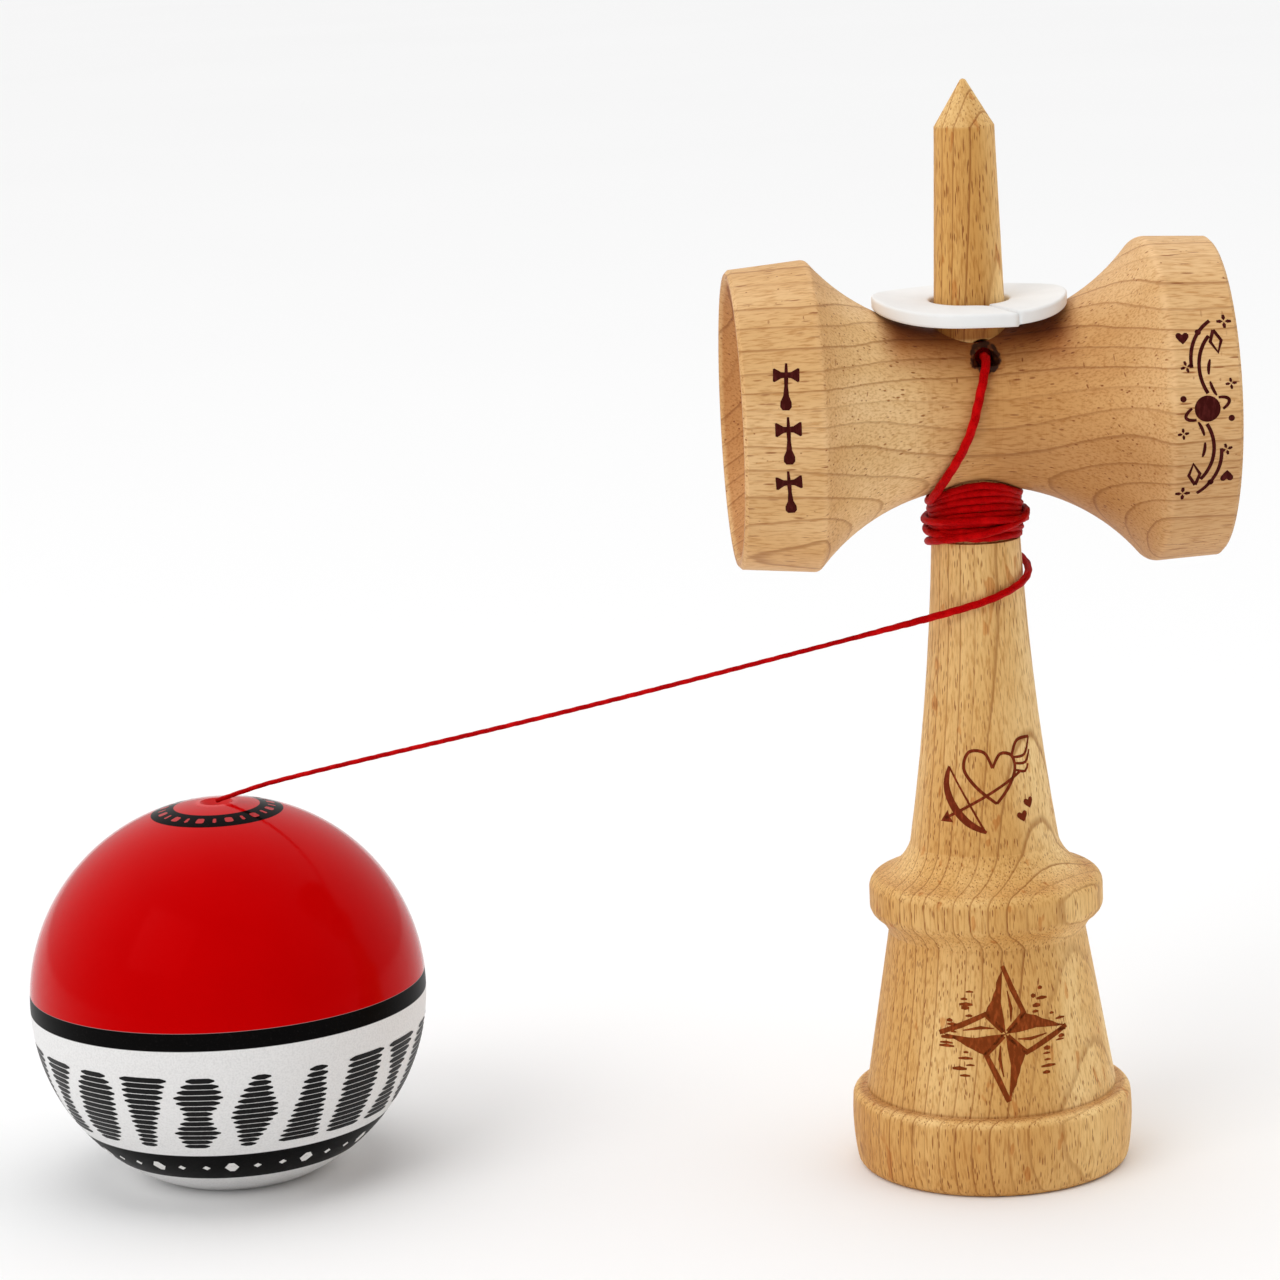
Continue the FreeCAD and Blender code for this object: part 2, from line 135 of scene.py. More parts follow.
class NodeTree:
    """The nodes of a material or of the world, added by calls that return the socket with the result."""

    def __init__(self, owner):
        owner.use_nodes = True
        self.links = owner.node_tree.links
        self.nodes = owner.node_tree.nodes

    def feed(self, socket, value):
        if isinstance(value, bpy.types.NodeSocket):
            self.links.new(value, socket)
        elif value is not None:
            socket.default_value = value

    def add(self, kind, *values, output=0, **settings):
        node = self.nodes.new(kind)
        for name, setting in settings.items():
            setattr(node, name, setting)
        for socket, value in zip(node.inputs, values):
            self.feed(socket, value)
        return node.outputs[output]

    def math(self, operation, *values):
        return self.add("ShaderNodeMath", *values, operation=operation)

    def times(self, first, second):
        return self.math("MULTIPLY", first, second)

    def coordinates(self, name="Object"):
        return self.nodes.new("ShaderNodeTexCoord").outputs[name]

    def millimetres(self):
        return self.stretch(self.coordinates(), (1 / MM,) * 3)

    def vector(self, operation, *values, output="Vector"):
        return self.add("ShaderNodeVectorMath", *values, output=output, operation=operation)

    def dot(self, vector, direction):
        return self.vector("DOT_PRODUCT", vector, direction, output="Value")

    def distance(self, vector, place):
        return self.vector("DISTANCE", vector, place, output="Value")

    def facing(self, direction):
        """1 where the surface faces that way, down to -1 where it faces away."""
        return self.dot(self.coordinates("Normal"), direction)

    def stretch(self, vector, scale):
        return self.vector("MULTIPLY", vector, scale)

    def named(self, kind, output, **values):
        node = self.nodes.new(kind)
        for name, value in values.items():
            self.feed(node.inputs[name], value)
        return node.outputs[output]

    def noise(self, vector, scale=1.0, detail=2.0):
        return self.named("ShaderNodeTexNoise", "Fac", Vector=vector, Scale=scale, Detail=detail)

    def cells(self, vector):
        """(distance to the nearest cell's middle, a random value for that cell)."""
        node = self.nodes.new("ShaderNodeTexVoronoi")
        self.feed(node.inputs["Vector"], vector)
        node.inputs["Scale"].default_value = 1.0
        red = self.add("ShaderNodeSeparateColor", node.outputs["Color"])
        return node.outputs["Distance"], red

    def rise(self, value, low, high):
        """0 at low, 1 at high, and smooth between. With low above high it falls instead."""
        ends = (0, 1) if low < high else (1, 0)
        return self.add("ShaderNodeMapRange", value, min(low, high), max(low, high), *ends,
                        interpolation_type="SMOOTHSTEP")

    def between(self, value, low, high, edge):
        """1 between low and high, with soft edges."""
        above = self.rise(value, low - edge, low + edge)
        return self.times(above, self.rise(value, high + edge, high - edge))

    def mix(self, factor, first, second, blend="MIX"):
        return self.add("ShaderNodeMix", factor, *MIX_UNUSED, first, second, output=MIX_COLOUR,
                        data_type="RGBA", blend_type=blend)

    def screen_mix(self, factor, first, second):
        return self.mix(factor, screen_colour(*first), screen_colour(*second))

    def filtered(self, colour, keeps):
        """The colour through a filter that keeps these parts of its red, green and blue."""
        return self.mix(1.0, colour, (*keeps, 1), "MULTIPLY")

    def tinted(self, factor, colour, keeps):
        """The colour, filtered as far as factor goes."""
        return self.mix(factor, colour, self.filtered(colour, keeps))

    def cloud(self, vector, waves, low, high, detail):
        """Noise with so many waves per unit each way, 0 where it is under low and 1 over high."""
        return self.rise(self.noise(self.stretch(vector, waves), detail=detail), low, high)

    def bump(self, height, distance, strength=1.0):
        return self.named("ShaderNodeBump", "Normal", Strength=strength, Distance=distance, Height=height)


class Shader(NodeTree):
    """A new material and its nodes."""

    def __init__(self, name):
        self.material = bpy.data.materials.new(name)
        super().__init__(self.material)
        self.surface = self.nodes["Principled BSDF"]

    def finish(self, colour, roughness, normal=None, **others):
        self.feed(self.surface.inputs["Base Color"], colour)
        self.feed(self.surface.inputs["Roughness"], roughness)
        self.feed(self.surface.inputs["Normal"], normal)
        for name, value in others.items():
            self.feed(self.surface.inputs[name.replace("_", " ")], value)
        return self.material


def paint(thing, material):
    thing.data.materials.clear()
    thing.data.materials.append(material)


def new_mesh(name, vertices, faces, smooth=True):
    mesh = bpy.data.meshes.new(name)
    mesh.from_pydata([tuple(vertex) for vertex in vertices], [], faces)
    mesh.update()
    mesh.polygons.foreach_set("use_smooth", [smooth] * len(mesh.polygons))
    return new_object(name, mesh)


def tube_faces(rings, corners):
    """Faces that join rings of corners, ring after ring, into a tube with closed ends."""
    faces = []
    for base in range(0, (rings - 1) * corners, corners):
        for corner in range(corners):
            here, beside = base + corner, base + (corner + 1) % corners
            faces.append((here, beside, beside + corners, here + corners))
    faces.append(tuple(reversed(range(corners))))
    faces.append(tuple(range((rings - 1) * corners, rings * corners)))
    return faces


# ---- string

RED_GLOSS = (1, 0.02, 0.02, 1)
STRING_DIAMETER = 0.0011
LINE_SPACING = 0.35 * MM
TUBE_SIDES = 12
STRANDS, STRAND_DEPTH, STRAND_LAY = 3, 0.07, 2.6 * MM
# The string is slack and thick from its hole to the winding, and stretched thin on its way to the ball.
LEAD_SWELL, LEAD_LENGTH, LEAD_FADE = 0.18, 0.034, 8 * MM
RUN_THINNING, RUN_START, RUN_FADE = 0.36, -8 * MM, 12 * MM

LEAD_ROUTE = [
    (0.0010, -0.0050, 0.1216),
    (0.0010, -0.0073, 0.1218),
    (0.0010, -0.0094, 0.1216),
    (0.0002, -0.0110, 0.1188),
    (-0.0007, -0.01195, 0.1159),
    (-0.0015, -0.01215, 0.1128),
    (-0.0027, -0.0117, 0.1097),
    (-0.0041, -0.0106, 0.1069),
    (-0.0057, -0.0089, 0.1041),
    (-0.0069, -0.0062, 0.1016),
    (-0.0073, -0.0034, 0.1006),
    (-0.0067, -0.0002, 0.1006),
]
RUN_ROUTE = [
    (-0.0043, 0.0059, 0.0934),
    (-0.0018, 0.0077, 0.0932),
    (0.0042, 0.0067, 0.0922),
    (0.0079, 0.0019, 0.0904),
    (0.0070, -0.0043, 0.0886),
    (0.0018, -0.0079, 0.0867),
    (-0.0048, -0.0070, 0.0848),
    (-0.0180, -0.0046, 0.0815),
    (-0.0600, 0.0046, 0.0709),
    (-0.1040, 0.0153, 0.0607),
    (-0.1105, 0.01675, 0.0586),
    (-0.1139, 0.0176, 0.0574),
]

# The winding: turns are counted from the first one's front, clockwise as seen from above.
WIND_STEPS = 14
WIND_FIRST, WIND_LAST = -0.65, 7.0
WIND_RADIUS = 6.6 * MM
WIND_FRONT_TOP, WIND_FRONT_PITCH = 103.1 * MM, 1.12 * MM
WIND_SIDE_TOP, WIND_SIDE_PITCH = 100.8 * MM, 0.83 * MM
WIND_LOOSENESS = 0.12 * MM
QUARTER_TURN = 0.25
# The turns that cross back over the others: turn, height and radius in millimetres at each quarter.
SECOND_LAYER = [
    (7.0, 95.26, 6.6), (7.25, 95.9, 7.4), (7.5, 96.6, 7.5), (7.75, 97.1, 7.5), (8.0, 98.1, 7.45),
    (8.25, 97.4, 7.6), (8.5, 98.0, 7.5), (8.75, 98.3, 7.65), (9.0, 96.0, 7.5), (9.25, 94.2, 7.15),
    (9.4, 93.5, 7.2),
]


def on_winding(turn, radius, height):
    angle = -pi / 2 - 2 * pi * turn
    return (radius * cos(angle), radius * sin(angle), height)


def neat_turns():
    """Turns that sag at both sides, under the cross-piece's waist."""
    route = []
    for step in range(round((WIND_LAST - WIND_FIRST) * WIND_STEPS)):
        turn = WIND_FIRST + step / WIND_STEPS
        flatness = 2 + min(max(turn, 0), 2)  # lower turns sag more narrowly
        side = abs(sin(2 * pi * turn)) ** flatness
        front_height = WIND_FRONT_TOP - WIND_FRONT_PITCH * max(turn, 0)
        side_height = WIND_SIDE_TOP - WIND_SIDE_PITCH * max(turn + QUARTER_TURN, 0)
        height = front_height + (side_height - front_height) * side
        radius = WIND_RADIUS + WIND_LOOSENESS * side * cos(pi * round(turn))
        route.append(on_winding(turn, radius, height))
    return route


def loose_turns():
    """The turns of the second layer, with points between its quarters."""
    route = []
    for start, end in zip(SECOND_LAYER, SECOND_LAYER[1:]):
        steps = max(2, round((end[0] - start[0]) * WIND_STEPS))
        for step in range(steps):
            turn, height, radius = (a + (b - a) * (step / steps) for a, b in zip(start, end))
            route.append(on_winding(turn, radius * MM, height * MM))
    return route


def smooth_line(route, spacing):
    """Points a given spacing apart along the NURBS spline whose control points are the route."""
    curve = bpy.data.curves.new("string_route", "CURVE")
    curve.dimensions = "3D"
    spline = curve.splines.new("NURBS")
    spline.points.add(len(route) - 1)
    for point, place in zip(spline.points, route):
        point.co = (*place, 1)
    spline.order_u = 3
    spline.use_endpoint_u = True
    spline.resolution_u = 24
    holder = new_object("string_route", curve)
    line = bpy.data.meshes.new_from_object(holder)
    corners = [vertex.co.copy() for vertex in line.vertices]
    bpy.data.objects.remove(holder)
    bpy.data.meshes.remove(line)
    points = [corners[0]]
    travelled = 0.0
    for start, end in zip(corners, corners[1:]):
        length = (end - start).length
        while travelled + length >= len(points) * spacing:
            points.append(start.lerp(end, (len(points) * spacing - travelled) / max(length, 1e-9)))
        travelled += length
    points.append(corners[-1])
    return points


def twisted_tube(name, line, radii):
    """A laid cord round a line: its strands show as shallow lobes that turn as they go along."""
    vertices = []
    travelled = 0.0
    tangent = (line[1] - line[0]).normalized()
    side = tangent.orthogonal().normalized()
    for index, point in enumerate(line):
        ahead = line[min(index + 1, len(line) - 1)] - line[max(index - 1, 0)]
        new_tangent = ahead.normalized()
        side = tangent.rotation_difference(new_tangent) @ side
        tangent = new_tangent
        other = tangent.cross(side)
        for corner in range(TUBE_SIDES):
            angle = 2 * pi * corner / TUBE_SIDES
            lobe = 1 + STRAND_DEPTH * cos(STRANDS * angle - 2 * pi * travelled / STRAND_LAY)
            vertices.append(point + (side * cos(angle) + other * sin(angle)) * radii[index] * lobe)
        travelled += (line[min(index + 1, len(line) - 1)] - point).length
    return new_mesh(name, vertices, tube_faces(len(line), TUBE_SIDES))


def string_material():
    """Red twisted line, darker between its fibres."""
    shader = Shader("red_string")
    point = shader.millimetres()
    fibres = shader.noise(point, scale=5.0, detail=4)
    patches = shader.noise(point, scale=0.6)
    colour = shader.screen_mix(shader.rise(fibres, 0.3, 0.7), (148, 1, 4), (190, 4, 8))
    colour = shader.mix(shader.rise(patches, 0.4, 0.8), colour, screen_colour(204, 12, 14))
    normal = shader.bump(fibres, 0.08 * MM, 0.7)
    return shader.finish(colour, 0.6, normal, Specular_IOR_Level=0.25, Specular_Tint=RED_GLOSS)


def clamped(value):
    return min(max(value, 0), 1)


def add_string():
    """The whole string as one line."""
    line = smooth_line(LEAD_ROUTE + neat_turns() + loose_turns() + RUN_ROUTE, LINE_SPACING)
    radii = []
    for index, point in enumerate(line):
        slack = clamped((LEAD_LENGTH - index * LINE_SPACING) / LEAD_FADE)
        stretch = clamped((RUN_START - point.x) / RUN_FADE)
        radii.append(STRING_DIAMETER / 2 * (1 + LEAD_SWELL * slack - RUN_THINNING * stretch))
    string = twisted_tube("string", line, radii)
    material = string_material()
    paint(string, material)
    inside = [nodes[name] for name in ("ken_knot", "string_in_tama", "bead_knot")]
    for piece in inside:
        paint(piece, material)
    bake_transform(string)
    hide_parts("string_lead", "string_winding", "string_run")


add_string()


# ---- foam ring

RING_INNER, RING_OUTER = 5.75 * MM, 14.1 * MM
RING_THICKNESS = 2.0 * MM
RING_EDGE = 0.45 * MM
RING_SLIT_ANGLE = radians(-68)
RING_SLIT_HALF = radians(0.12)
RING_HEIGHT = 127.45 * MM
RING_FORWARD_LEAN = 0.056
RING_SADDLE_LIFT = 0.95 * MM
RING_END_DROOP = 0.28 * MM
# Only the last of this many parts of the ring hangs.
RING_DROOP_PARTS = 12
RING_STEPS, RING_FACE_STEPS, RING_EDGE_STEPS = 120, 7, 4


def ring_section():
    """The ring's section as (distance from its middle, height above its underside), rounded at its edges."""
    section = []
    outer, inner = RING_OUTER - RING_EDGE, RING_INNER + RING_EDGE
    low, high = RING_EDGE, RING_THICKNESS - RING_EDGE
    for radius, height, first in ((outer, low, -90), (outer, high, 0), (inner, high, 90), (inner, low, 180)):
        for step in range(RING_EDGE_STEPS + 1):
            angle = radians(first + 90 / RING_EDGE_STEPS * step)
            section.append((radius + RING_EDGE * cos(angle), height + RING_EDGE * sin(angle)))
        if first in (0, 180):
            start, end = (RING_OUTER, RING_INNER) if first == 0 else (RING_INNER, RING_OUTER)
            level = RING_THICKNESS if first == 0 else 0.0
            for step in range(1, RING_FACE_STEPS):
                section.append((start + (end - start) * step / RING_FACE_STEPS, level))
    return section


def foam_material():
    """White foam with fine pores."""
    shader = Shader("white_foam")
    point = shader.millimetres()
    pores, _ = shader.cells(shader.stretch(point, (4.0,) * 3))
    patches = shader.noise(point, scale=0.25)
    colour = shader.screen_mix(patches, (232, 232, 231), (244, 244, 243))
    normal = shader.bump(pores, 0.03 * MM, 0.35)
    return shader.finish(colour, 0.85, normal, Specular_IOR_Level=0.2)


def add_spacer_ring():
    """Slit ring of soft foam: it leans forward, its sides ride up on the cross-piece, and one end hangs."""
    section = ring_section()
    vertices = []
    first = RING_SLIT_ANGLE + RING_SLIT_HALF
    last = RING_SLIT_ANGLE + 2 * pi - RING_SLIT_HALF
    for step in range(RING_STEPS + 1):
        part = step / RING_STEPS
        angle = first + (last - first) * part
        droop = RING_END_DROOP * max(0.0, RING_DROOP_PARTS * part - (RING_DROOP_PARTS - 1)) ** 2
        for radius, height in section:
            across, behind = radius * cos(angle), radius * sin(angle)
            saddle = RING_SADDLE_LIFT * (across / RING_OUTER) ** 4
            lowest = RING_HEIGHT + RING_FORWARD_LEAN * behind + saddle - droop
            vertices.append((across, behind, lowest + height))
    ring = new_mesh("foam_ring", vertices, tube_faces(RING_STEPS + 1, len(section)))
    paint(ring, foam_material())
    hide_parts("spacer_ring")
    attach(ring, "spacer")


add_spacer_ring()


# ---- wood

# Waves or cells per millimetre: outwards from the pith, sideways and along the grain.
FIBRE_WAVES, TONE_WAVES = (3.4, 3.4, 0.42), (0.09, 0.09, 0.02)
CROWD_WAVES = (0.07, 0.07, 0.03)
# Each size of fleck: its cells, how far a dash fills its cell and how few cells have one.
KEN_FLECKS = (((3.1, 3.1, 0.42), 0.33, 0.4), ((2.6, 2.6, 0.16), 0.27, 0.45))
SARADO_FLECKS = (((1.5, 1.7, 0.2), 0.27, 0.55), ((0.32, 2.6, 1.3), 0.26, 0.8))

KEN_COLOURS = ((234, 192, 126), (216, 165, 94))
SARADO_COLOURS = ((230, 188, 134), (219, 173, 115))
KEN_PITH, KEN_RING_WIDTH = (-45.0, 40.0, 60.0), 2.0
SARADO_PITH, SARADO_RING_WIDTH = (0.0, -21.0, 81.0), 3.1
# What bends the growth rings and makes them uneven: waves, detail and years.
RING_NOISES = (((0.05, 0.05, 0.012), 1, 2.6), ((0.7, 0.7, 0.2), 2, 0.12))
LATE_WOOD_STRENGTH, FIBRE_STRENGTH, FLECK_STRENGTH = 0.18, 0.85, 0.9
WOOD_BUMP = 0.07 * MM

# What each shade keeps of the wood's red, green and blue. Over 1 it lightens, and those over 1 are painted
# light.
GRAIN_SHADE, RING_LINE_SHADE, FLECK_SHADE = (0.70, 0.56, 0.40), (0.46, 0.30, 0.17), (0.38, 0.19, 0.08)
END_GRAIN_SHADE, END_PORE_SHADE = (0.72, 0.44, 0.24, 1), (0.42, 0.22, 0.10, 1)
LIT_SIDE, SPIKE_GOLD, SPIKE_RING_SHADOW = (1.2, 1.34, 1.56), (0.86, 0.75, 0.56), (0.62, 0.44, 0.28)
AMBER_SPOTS, FOOT_SHADE, FOOT_STAIN_AND_SHADOW = (0.78, 0.52, 0.30), (0.92, 0.85, 0.74), (0.42, 0.24, 0.13)
WAIST_SHADE_GOLD, LIT_FLANK, SHADED_FLANK = (0.80, 0.67, 0.50), (1.1, 1.19, 1.28), (0.82, 0.76, 0.72)
TURNED_LINE, CUP_AMBER, SHOULDER_HIGHLIGHT = (0.74, 0.60, 0.46), (0.72, 0.52, 0.34), (1.08, 1.1, 1.16)
RING_SHADOW, DEEP_RING_SHADOW = (0.60, 0.38, 0.22), (0.5, 0.34, 0.25)
HOLE_RIM = screen_colour(158, 92, 36)
HOLE_SHADE, HOLE_TORN = (44, 14, 4), (112, 58, 24)

# Places on the handle, as heights in millimetres.
LEDGE_HEIGHT, SHAFT_MIDDLE = 11.7, 70.0
SPIKE_FOOT, SPIKE_TOP = 124.0, 154.3
# Places on the cross-piece, in millimetres along it. LIPS are radii round its own axis, at each side.
WAIST, LEFT_FLANK, TURNED_PART, RING_SHADOW_SPAN = (-5, 22), (-21, -9), (-18, 17), (-13, 13)
# Heights in millimetres between which a shade of the cross-piece comes in: painted shade on the waist and
# low on the right, and painted shadow under the foam ring.
WAIST_FADE, LOW_SHADE_FADE, SHADOW_FADE, DEEP_SHADOW_FADE = (133, 124), (117, 105), (118.5, 124.5), (122.8, 125.6)
CUP_FLOORS, LIPS = 18, {-1: 20.4, 1: 21.9}
SHOULDERS = (-23.8, 25.4)
HOLE_CENTRE, HOLE_RADIUS, HOLE_RIM_RADIUS = (1.0, 0, 121.7), 2.6, 2.9


def beech(name, grain, pith, middle, ring_width, colours, ring_contrast, fleck_sizes, end_strength, extra):
    """Turned beech with its fibres along grain and its growth rings round a line through pith.

    Places are in millimetres. extra(shader, point, colour) adds what one piece alone has.
    """
    shader = Shader(name)
    point = shader.millimetres()
    wood, out, side = wood_place(shader, point, grain, pith, middle)
    season, line = growth_rings(shader, wood, out, side, ring_width)
    flecks = ray_flecks(shader, wood, fleck_sizes)
    fibre = shader.noise(shader.stretch(wood, FIBRE_WAVES), detail=4)

    colour = shader.screen_mix(shader.cloud(wood, TONE_WAVES, 0.35, 0.65, detail=3), *colours)
    grainy = shader.filtered(colour, GRAIN_SHADE)
    ringed = shader.filtered(colour, RING_LINE_SHADE)
    flecked = shader.filtered(colour, FLECK_SHADE)
    colour = shader.mix(shader.times(shader.rise(season, 0.2, 1.0), LATE_WOOD_STRENGTH), colour, grainy)
    colour = shader.mix(shader.times(shader.rise(fibre, 0.42, 0.72), FIBRE_STRENGTH), colour, grainy)
    colour = shader.mix(shader.times(line, ring_contrast), colour, ringed)
    colour = shader.mix(shader.times(flecks, FLECK_STRENGTH), colour, flecked)
    colour = end_grain(shader, grain, fibre, end_strength, colour)
    colour = extra(shader, point, colour)

    height = shader.math("SUBTRACT", shader.times(fibre, 0.25), flecks)
    roughness = shader.math("ADD", 0.45, shader.times(fibre, 0.22))
    return shader.finish(colour, roughness, shader.bump(height, WOOD_BUMP, 0.6), Specular_IOR_Level=0.25)


def wood_place(shader, point, grain, pith, middle):
    """(a place outwards from the pith, sideways and along the grain, and its first two parts)."""
    grain, radial = Vector(grain), Vector(middle) - Vector(pith)
    radial = (radial - radial.project(grain)).normalized()
    place = shader.vector("SUBTRACT", point, pith)
    parts = [shader.dot(place, direction) for direction in (radial, grain.cross(radial), grain)]
    return shader.add("ShaderNodeCombineXYZ", *parts), parts[0], parts[1]


def growth_rings(shader, wood, out, side, ring_width):
    """(how far through its year the wood grew, the dark line at the year's end, stronger in some years)."""
    squares = shader.math("ADD", shader.times(out, out), shader.times(side, side))
    years = shader.math("DIVIDE", shader.math("SQRT", squares), ring_width)
    for waves, detail, strength in RING_NOISES:
        wave = shader.noise(shader.stretch(wood, waves), detail=detail)
        years = shader.math("ADD", years, shader.times(wave, strength))
    season = shader.math("FRACT", years)
    year = shader.add("ShaderNodeTexWhiteNoise", None, shader.math("FLOOR", years), noise_dimensions="1D")
    line = shader.times(shader.rise(season, 0.84, 0.95), shader.rise(season, 1.0, 0.965))
    return season, shader.times(line, shader.rise(year, -0.5, 0.9))


def ray_flecks(shader, wood, sizes):
    """Dark dashes, more crowded in some places."""
    both = None
    for cells, wide, few in sizes:
        near, pick = shader.cells(shader.stretch(wood, cells))
        dashes = shader.times(shader.rise(near, wide, wide * 0.5), shader.rise(pick, few, few + 0.2))
        both = shader.math("MAXIMUM", both, dashes) if both else dashes
    return shader.times(both, shader.cloud(wood, CROWD_WAVES, 0.15, 0.5, detail=1))


def end_grain(shader, grain, fibre, strength, colour):
    """Darker, pored wood where the surface cuts across the fibres."""
    end = shader.rise(shader.math("ABSOLUTE", shader.facing(grain)), 0.72, 0.98)
    shade = shader.mix(shader.rise(fibre, 0.35, 0.65), END_GRAIN_SHADE, END_PORE_SHADE)
    return shader.mix(shader.times(end, strength), colour, shader.mix(1.0, colour, shade, "MULTIPLY"))


def ken_extra(shader, point, colour):
    """The handle is lighter on its right and its ledges, which is painted light, and darker round the
    spike's foot under the foam ring, which is painted shadow. Its spike is golden below the fresh-cut tip.
    """
    height = shader.dot(point, UP)
    # Painted light: the handle is lighter where it faces right.
    painted_lit = shader.filtered(colour, LIT_SIDE)
    right = shader.rise(shader.facing(ALONG), 0.1, 0.85)
    colour = shader.mix(right, colour, painted_lit)
    # Painted light: upward ledges low on the handle are lighter too.
    ledges = shader.rise(shader.facing(UP), 0.15, 0.6)
    ledges = shader.times(ledges, shader.rise(height, SHAFT_MIDDLE, SHAFT_MIDDLE - 5))
    colour = shader.mix(shader.times(ledges, 0.6), colour, painted_lit)
    spike = shader.between(height, SPIKE_FOOT, SPIKE_TOP, 0.4)
    colour = shader.tinted(shader.times(spike, shader.math("SUBTRACT", 1, right)), colour, SPIKE_GOLD)
    # Painted shadow: the spike's foot is darker just under the foam ring.
    spike_ring_shadow = shader.between(height, SPIKE_FOOT, RING_HEIGHT / MM + 0.3, 0.3)
    colour = shader.tinted(spike_ring_shadow, colour, SPIKE_RING_SHADOW)
    spots = shader.cloud(point, (0.5, 0.5, 0.16), 0.66, 0.7, detail=2)
    colour = shader.tinted(shader.times(spots, 0.7), colour, AMBER_SPOTS)
    return ken_foot(shader, point, height, colour)


def ken_foot(shader, point, height, colour):
    """The foot is darker, with a painted shadow line in the crease at the ledge above it and a few stains.
    """
    foot = shader.rise(height, LEDGE_HEIGHT, LEDGE_HEIGHT - 2)
    colour = shader.tinted(foot, colour, FOOT_SHADE)
    brown = shader.filtered(colour, FOOT_STAIN_AND_SHADOW)
    # Painted shadow: a thin dark line in the crease at the ledge.
    crease = shader.between(height, LEDGE_HEIGHT - 0.05, LEDGE_HEIGHT + 0.1, 0.3)
    colour = shader.mix(shader.times(crease, 0.9), colour, brown)
    stains = shader.cloud(point, (0.22, 0.22, 0.12), 0.6, 0.74, detail=3)
    return shader.mix(shader.times(shader.times(stains, foot), 0.45), colour, brown)


def sarado_extra(shader, point, colour):
    """What the cross-piece alone has, from the painted light and shade round its waist and the painted
    shadow under the foam ring to the string's hole.
    """
    across, height = shader.dot(point, ALONG), shader.dot(point, UP)
    colour = waist_shading_and_turned_lines(shader, point, across, height, colour)
    colour = cup_amber_and_shoulders(shader, point, across, colour)
    # Painted shadow under the foam ring, deepest just below it.
    ring_shadow_mask = shader.between(across, *RING_SHADOW_SPAN, 2.5)
    for fade, shade in ((SHADOW_FADE, RING_SHADOW), (DEEP_SHADOW_FADE, DEEP_RING_SHADOW)):
        colour = shader.tinted(shader.times(shader.rise(height, *fade), ring_shadow_mask), colour, shade)
    return string_hole(shader, point, colour)


def waist_shading_and_turned_lines(shader, point, across, height, colour):
    """Painted shade, golden, round the waist, painted light on the flank left of it, painted shade low on
    the right, and faint turned lines.
    """
    # Painted shade round the waist, golden.
    waist = shader.times(shader.between(across, *WAIST, 6), shader.rise(height, *WAIST_FADE))
    colour = shader.tinted(waist, colour, WAIST_SHADE_GOLD)
    # Painted light on the flank left of the waist.
    colour = shader.tinted(shader.between(across, *LEFT_FLANK, 3), colour, LIT_FLANK)
    # Painted shade low on the right.
    shaded_low_right = shader.times(shader.rise(height, *LOW_SHADE_FADE), shader.rise(across, -3, 5))
    colour = shader.tinted(shaded_low_right, colour, SHADED_FLANK)
    bands = shader.noise(shader.stretch(point, (0.5, 0.03, 0.03)), detail=1)
    turned = shader.times(shader.between(bands, 0.5, 0.506, 0.01), shader.between(across, *TURNED_PART, 2))
    return shader.tinted(shader.times(turned, 0.5), colour, TURNED_LINE)


def cup_amber_and_shoulders(shader, point, across, colour):
    """Amber inside the cups, and lighter at their shoulders, which is a painted highlight."""
    from_axis = shader.distance(shader.stretch(point, (0, 1, 1)), (0, 0, SARADO_AXIS_HEIGHT / MM))
    amber = shader.filtered(colour, CUP_AMBER)
    facing = shader.facing(ALONG)
    for side, lip in LIPS.items():
        cup = shader.rise(across, CUP_FLOORS * side, (CUP_FLOORS + 2) * side)
        cup = shader.times(cup, shader.rise(facing, 0, 0.2 * side))
        inside = shader.times(cup, shader.rise(from_axis, lip, lip - 0.5))
        colour = shader.mix(shader.times(inside, 0.85), colour, amber)
    # Painted highlight: a light band along each cup's shoulder.
    for shoulder in SHOULDERS:
        shoulder_highlight = shader.between(across, shoulder - 0.3, shoulder + 0.3, 0.5)
        colour = shader.tinted(shoulder_highlight, colour, SHOULDER_HIGHLIGHT)
    return colour


def string_hole(shader, point, colour):
    """A ragged hole with a scorched rim, and painted shade inside it, broken by lighter patches of ripped
    wood.
    """
    flat = shader.stretch(point, (1, 0, 1))
    ragged = shader.noise(shader.stretch(flat, (1.3, 1.3, 1.3)), detail=3)
    away = shader.math("ADD", shader.distance(flat, HOLE_CENTRE), shader.times(ragged, 1.2))
    front = shader.rise(shader.dot(point, (0, 1, 0)), 0, -2)
    rim = shader.times(shader.rise(away, HOLE_RIM_RADIUS + 0.8, HOLE_RIM_RADIUS), front)
    colour = shader.mix(shader.times(rim, 0.5), colour, HOLE_RIM)
    # Painted shade: the inside of the hole is nearly all dark brown.
    hole = shader.times(shader.rise(away, HOLE_RADIUS + 0.35, HOLE_RADIUS), front)
    shaded_hole = shader.screen_mix(shader.rise(ragged, 0.5, 0.66), HOLE_SHADE, HOLE_TORN)
    return shader.mix(shader.times(hole, 0.96), colour, shaded_hole)


def paint_wood():
    paint(nodes["ken"], beech(
        "beech_handle", UP, KEN_PITH, (0, 0, 60), KEN_RING_WIDTH, KEN_COLOURS,
        ring_contrast=0.85, fleck_sizes=KEN_FLECKS, end_strength=0.2, extra=ken_extra))
    paint(nodes["sarado"], beech(
        "beech_cross_piece", ALONG, SARADO_PITH, (0, 0, SARADO_AXIS_HEIGHT / MM), SARADO_RING_WIDTH,
        SARADO_COLOURS, ring_contrast=0.62, fleck_sizes=SARADO_FLECKS, end_strength=0.45,
        extra=sarado_extra))


paint_wood()


# ---- ball

